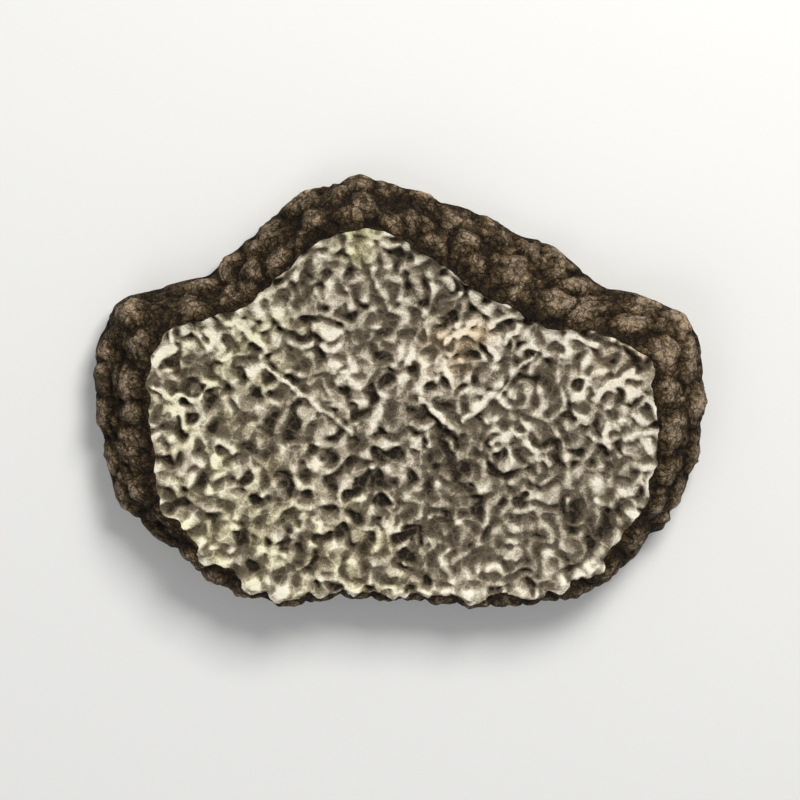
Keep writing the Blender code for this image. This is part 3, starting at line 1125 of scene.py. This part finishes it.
# %% Make helpers for the material
truffle = bpy.data.materials.new("dried_truffle")
truffle.use_nodes = True
tree = truffle.node_tree
shader = tree.nodes["Principled BSDF"]
place = tree.nodes.new("ShaderNodeTexCoord").outputs["Object"]


def stored(name):
    """One of the numbers that the points hold."""
    node = tree.nodes.new("ShaderNodeAttribute")
    node.attribute_name = name
    return node.outputs["Fac"]


def plug(socket, value):
    """Links an output to a socket, or sets the socket to a number or colour."""
    if isinstance(value, bpy.types.NodeSocket):
        tree.links.new(value, socket)
    else:
        socket.default_value = value


def maths(operation, first, second=0.0, third=0.0, clamp=False):
    """One step of arithmetic."""
    node = tree.nodes.new("ShaderNodeMath")
    node.operation = operation
    node.use_clamp = clamp
    for socket, value in zip(node.inputs, (first, second, third)):
        plug(socket, value)
    return node.outputs["Value"]


def added_up(base, layers):
    """The base with every layer added in its strength, kept from 0 to 1 at the end."""
    total = base
    for number, (layer, strength) in enumerate(layers, start=1):
        total = maths("MULTIPLY_ADD", layer, strength, total, clamp=number == len(layers))
    return total


def ramp(value, stops):
    """Colours at these places, blended in between."""
    node = tree.nodes.new("ShaderNodeValToRGB")
    band = node.color_ramp
    while len(band.elements) < len(stops):
        band.elements.new(0.5)
    for element, (position, colour) in zip(band.elements, stops):
        element.position = position
        element.color = (*colour, 1)
    tree.links.new(value, node.inputs["Fac"])
    return node.outputs["Color"]


def mix(share, first, second, blend="MIX"):
    """The first colour, turned into the second one by this share."""
    node = tree.nodes.new("ShaderNodeMix")
    node.data_type = "RGBA"
    node.blend_type = blend
    plug(node.inputs["Factor"], share)
    plug(node.inputs["A"], first)
    plug(node.inputs["B"], second)
    return node.outputs["Result"]


print("the material's helpers are ready")

# %% [markdown]
# Two kinds of fine pattern come from textures: grains, which are noise, and nets of thin
# lines, which run between the cells of a Voronoi texture. A plain net looks like cut
# glass, so noise bends the place where it is read.

# %% Make grains and nets
GRAIN_ROUGHNESS = 0.6


def texture(kind, size_mm, vector):
    """A texture with features of about this size."""
    node = tree.nodes.new(kind)
    node.inputs["Scale"].default_value = 1 / (size_mm * MM)
    tree.links.new(vector, node.inputs["Vector"])
    return node


def grain(size_mm, detail):
    """Noise with grains of about this size."""
    node = texture("ShaderNodeTexNoise", size_mm, place)
    node.inputs["Detail"].default_value = detail
    node.inputs["Roughness"].default_value = GRAIN_ROUGHNESS
    return node.outputs["Fac"]


def net(size_mm, bend_mm, width):
    """White lines between cells of about this size, bent; width is a share of a cell."""
    noise = texture("ShaderNodeTexNoise", 0.8 * size_mm, place)
    bent = tree.nodes.new("ShaderNodeVectorMath")
    bent.operation = "MULTIPLY_ADD"
    tree.links.new(noise.outputs["Color"], bent.inputs[0])
    bent.inputs[1].default_value = (bend_mm * MM, bend_mm * MM, bend_mm * MM)
    tree.links.new(place, bent.inputs[2])
    cells = texture("ShaderNodeTexVoronoi", size_mm, bent.outputs["Vector"])
    cells.feature = "DISTANCE_TO_EDGE"
    return ramp(cells.outputs["Distance"], [(0.25 * width, (1, 1, 1)), (width, (0, 0, 0))])


fine_grain = grain(0.11, detail=3.0)
lump_grain = grain(0.27, detail=2.5)
soft_grain = grain(0.9, detail=3.0)
print("three sizes of grain are ready")

# %% [markdown]
# Dried flesh runs from a near-black brown in the pockets to cream on the veins. Its
# colour starts from the stored paleness. Fine noise gives the veins grainy borders, and
# a faint net of threads links them. The sum goes through one ramp. Soft stains are
# multiplied over it, olive near the left side and rusty above the middle.

# %% Colour the flesh
PALENESS_BASE = 0.039
STAIN_SHARE = 0.8
thread = net(1.05, 0.9, 0.13)
paleness = added_up(PALENESS_BASE, [
    (stored("pale"), 0.20),
    (fine_grain, 0.52),
    (lump_grain, 0.30),
    (thread, 0.13),
    (stored("long_vein"), 0.21),
    (stored("lip"), 0.5),
    (stored("open_pit"), -0.16),
])
flesh = ramp(paleness, [
    (0.0, (0.014, 0.010, 0.006)),
    (0.12, (0.040, 0.030, 0.019)),
    (0.24, (0.095, 0.075, 0.050)),
    (0.45, (0.160, 0.130, 0.090)),
    (0.55, (0.30, 0.255, 0.187)),
    (0.68, (0.47, 0.41, 0.31)),
    (0.92, (0.90, 0.84, 0.70)),
])
cloud = ramp(soft_grain, [(0.3, (0.82, 0.81, 0.80)), (0.7, (1.0, 1.0, 1.0))])
flesh = mix(0.5, flesh, cloud, "MULTIPLY")
olive_share = maths("MULTIPLY", stored("olive"), STAIN_SHARE)
olive_stain = mix(olive_share, (1, 1, 1, 1), (0.96, 1.0, 0.72, 1))
rust_share = maths("MULTIPLY", stored("rust"), STAIN_SHARE)
rust_stain = mix(rust_share, (1, 1, 1, 1), (1.16, 0.96, 0.74, 1))
flesh = mix(1.0, mix(1.0, flesh, olive_stain, "MULTIPLY"), rust_stain, "MULTIPLY")
print("the flesh goes from dark brown to cream")

# %% [markdown]
# The skin is nearly black in the furrows and worn to a greyish brown on the warts. A
# close look shows a net of fissures on every wart, a coarse one and a fine one. They are
# far too fine for the mesh, so here a Voronoi texture is the right tool. Noise moves the
# border between flesh and skin to and fro, as a knife leaves it.

# %% Colour the rind and join it to the flesh
RIND_BASE = -0.47
BORDER_RAGGED = 0.6
fissure = net(0.75, 0.9, 0.12)
fine_fissure = net(0.34, 0.4, 0.16)
rind_tone = added_up(RIND_BASE, [
    (stored("wart"), 0.44),
    (fine_grain, 0.62),
    (lump_grain, 0.62),
    (soft_grain, 0.48),
    (fissure, -0.16),
    (fine_fissure, -0.07),
])
rind = ramp(rind_tone, [
    (0.20, (0.004, 0.002, 0.001)),
    (0.44, (0.018, 0.011, 0.004)),
    (0.60, (0.047, 0.032, 0.015)),
    (0.78, (0.112, 0.085, 0.055)),
    (0.95, (0.25, 0.20, 0.145)),
])
warm_share = ramp(soft_grain, [(0.35, (0, 0, 0)), (0.65, (1, 1, 1))])
rind = mix(warm_share, rind, mix(1.0, rind, (1.35, 1.24, 1.12, 1), "MULTIPLY"))
skin_value = maths("SUBTRACT", stored("skin"), BORDER_RAGGED / 2)
skin_value = maths("MULTIPLY_ADD", lump_grain, BORDER_RAGGED, skin_value, clamp=True)
skin_share = ramp(skin_value, [(0.5, (0, 0, 0)), (0.62, (1, 1, 1))])
tree.links.new(mix(skin_share, flesh, rind), shader.inputs["Base Color"])
print("colours are mixed")

# %% [markdown]
# The relief that is too fine for the mesh comes from a Bump node: grains of dried flesh
# a tenth of a millimetre across, and the fissures of the skin. Its distance is in
# metres, so it is a real depth. Dried truffle is matt: only the tops of the veins are a
# little smoother.

# %% Add grain and a dry sheen
GRAIN_DEPTH = 0.07 * MM
# Shares of the grain's depth
FISSURE_DEPTH = 0.9
FINE_FISSURE_DEPTH = 0.4
ROUGHEST = 0.92
VEIN_SHEEN = 0.18

bump = tree.nodes.new("ShaderNodeBump")
bump.inputs["Strength"].default_value = 1.0
bump.inputs["Distance"].default_value = GRAIN_DEPTH
grain_height = maths("ADD", fine_grain, lump_grain)
fissure_height = maths("MULTIPLY", fine_fissure, -FINE_FISSURE_DEPTH)
fissure_height = maths("MULTIPLY_ADD", fissure, -FISSURE_DEPTH, fissure_height)
height = maths("MULTIPLY_ADD", fissure_height, skin_share, grain_height)
tree.links.new(height, bump.inputs["Height"])
tree.links.new(bump.outputs["Normal"], shader.inputs["Normal"])
roughness = maths("MULTIPLY_ADD", paleness, -VEIN_SHEEN, ROUGHEST)
tree.links.new(roughness, shader.inputs["Roughness"])
shader.inputs["Specular IOR Level"].default_value = 0.16
mesh.materials.append(truffle)
print("material has", len(tree.nodes), "nodes")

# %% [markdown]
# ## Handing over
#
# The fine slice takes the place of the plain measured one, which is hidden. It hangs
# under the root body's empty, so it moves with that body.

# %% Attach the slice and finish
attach(marbled_slice, "root")
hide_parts("truffle_slice")
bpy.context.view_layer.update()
